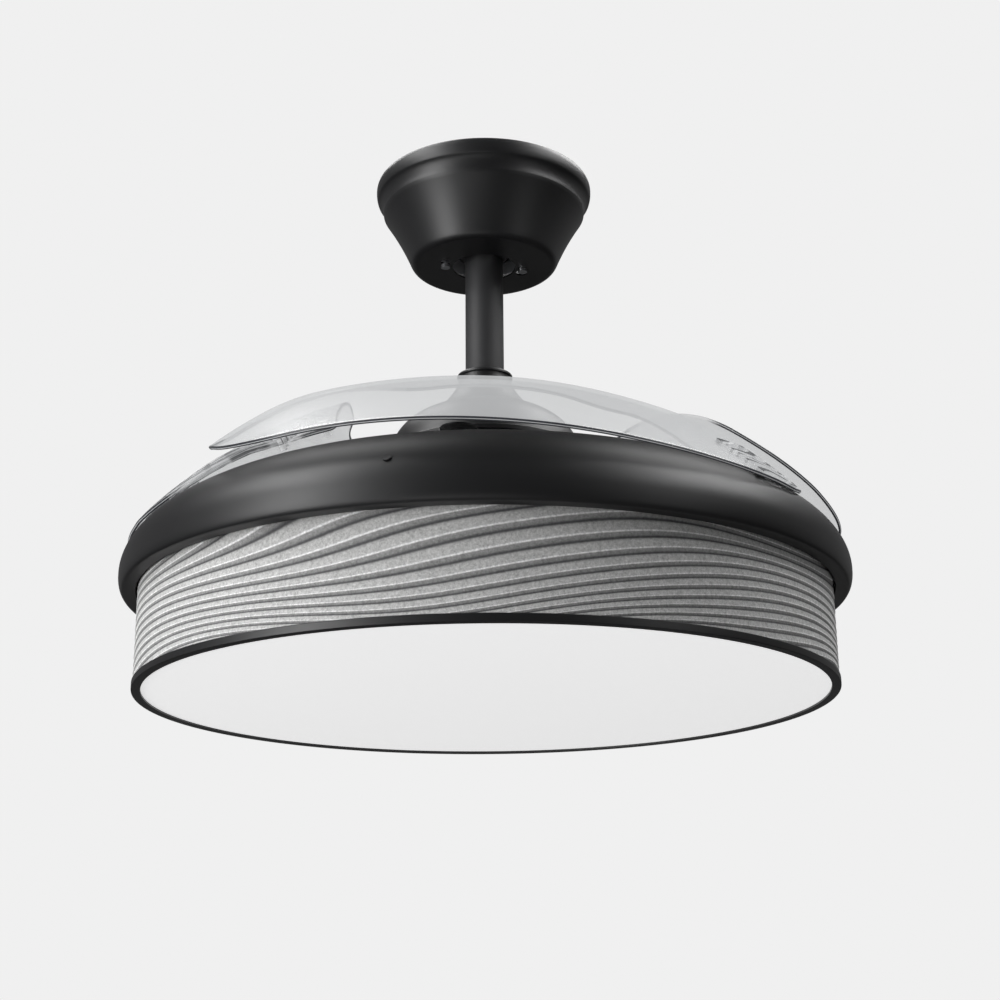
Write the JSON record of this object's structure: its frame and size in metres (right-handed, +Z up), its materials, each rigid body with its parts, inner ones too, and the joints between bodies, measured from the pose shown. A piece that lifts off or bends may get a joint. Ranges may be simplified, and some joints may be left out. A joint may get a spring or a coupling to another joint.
{
  "type": "retractable blade ceiling fan",
  "caption": "Ceiling fan with folding see-through blades nested over a drum lamp, hung on a downrod below a canopy.",
  "frame": {"origin": "centre of the ceiling plane, on the fan's axis, at the top face of the hanger bracket", "axes": "+Z up along the fan's axis, -Y towards the front, +X to the right seen from the front"},
  "size_m": [0.5, 0.5, 0.3869],
  "materials": {
    "black": "satin black powder coat",
    "black_screw": "black screw heads",
    "ball": "moulded ball",
    "zinc": "zinc-plated steel",
    "bright": "ground steel",
    "lamination": "laminated electrical steel",
    "copper": "enamelled copper wire",
    "cast": "die-cast aluminium",
    "magnet": "ferrite magnets, dull",
    "tray": "black painted pressing",
    "ring": "cut aluminium ring",
    "clear": "clear moulded plastic",
    "milk": "milky see-through plastic",
    "white_metal": "white painted pressing",
    "stone": "sandy grey sheet with waved ridges",
    "diffuse": "opal white diffuser",
    "board": "white lamp board",
    "chip": "yellow lamp chips",
    "white_case": "white moulded case"
  },
  "bodies": {
    "ceiling": {"hanger_bracket": "zinc", "canopy": "black", "canopy_screws": "zinc"},
    "pendant": {"hanger_ball": "ball", "ball_pin": "bright", "downrod": "black", "collar": "black", "motor_bell": "black", "shaft_coupler": "zinc", "coupler_bolts": "zinc", "motor_shaft": "bright", "stator_core": "lamination", "stator_windings": "copper", "lamp_pan": "white_metal", "shaft_nuts": "zinc", "top_cover": "black", "cover_screws": "black_screw", "shade": "stone", "shade_brackets": "zinc", "bottom_trim": "black", "diffuser": "diffuse", "led_board": "board", "led_chips": "chip", "board_standoffs": "zinc", "led_driver": "white_case", "receiver_box": "white_case"},
    "rotor": {"rotor_cover": "cast", "rotor_pot": "cast", "rotor_screws": "zinc", "rotor_magnets": "magnet", "upper_bearing": "bright", "lower_bearing": "bright", "blade_tray": "tray", "tray_screws": "zinc", "pivot_posts": "bright", "post_clips": "zinc", "return_springs": "bright", "ring_guides": "bright"},
    "sync_ring": {"sync_ring": "ring"},
    "blade_1": {"blade_1": "milk", "blade_foot_1": "clear", "blade_screws_1": "zinc"},
    "blade_2": {"blade_2": "milk", "blade_foot_2": "clear", "blade_screws_2": "zinc"},
    "blade_3": {"blade_3": "milk", "blade_foot_3": "clear", "blade_screws_3": "zinc"}
  },
  "joints": [
    {"name": "hanger_swing", "type": "hinge", "parent": "ceiling", "child": "pendant", "pos_m": [0, 0, -0.042], "axis": [1, 0, 0], "range_deg": [-8, 8]},
    {"name": "rotor_spin", "type": "hinge", "parent": "pendant", "child": "rotor", "pos_m": [0, 0, -0.24], "axis": [0, 0, 1], "continuous": true},
    {"name": "blade_1_fold", "type": "hinge", "parent": "rotor", "child": "blade_1", "pos_m": [0.15317, 0.07142, -0.24], "axis": [0, 0, 1], "range_deg": [0, 140], "stiffness_Nm_per_rad": 0.1, "springref_deg": -20.05},
    {"name": "blade_2_fold", "type": "hinge", "parent": "rotor", "child": "blade_2", "pos_m": [-0.01473, -0.16836, -0.24], "axis": [0, 0, 1], "range_deg": [0, 140]},
    {"name": "blade_3_fold", "type": "hinge", "parent": "rotor", "child": "blade_3", "pos_m": [-0.13844, 0.09693, -0.24], "axis": [0, 0, 1], "range_deg": [0, 140]},
    {"name": "sync_ring_turn", "type": "hinge", "parent": "rotor", "child": "sync_ring", "pos_m": [0, 0, -0.265], "axis": [0, 0, 1], "range_deg": [-20.95, 0]}
  ],
  "couplings": [
    {"joint": "blade_2_fold", "follows": "blade_1_fold", "ratio": 1},
    {"joint": "blade_3_fold", "follows": "blade_1_fold", "ratio": 1},
    {"joint": "sync_ring_turn", "follows": "blade_1_fold", "ratio": -0.14966}
  ]
}
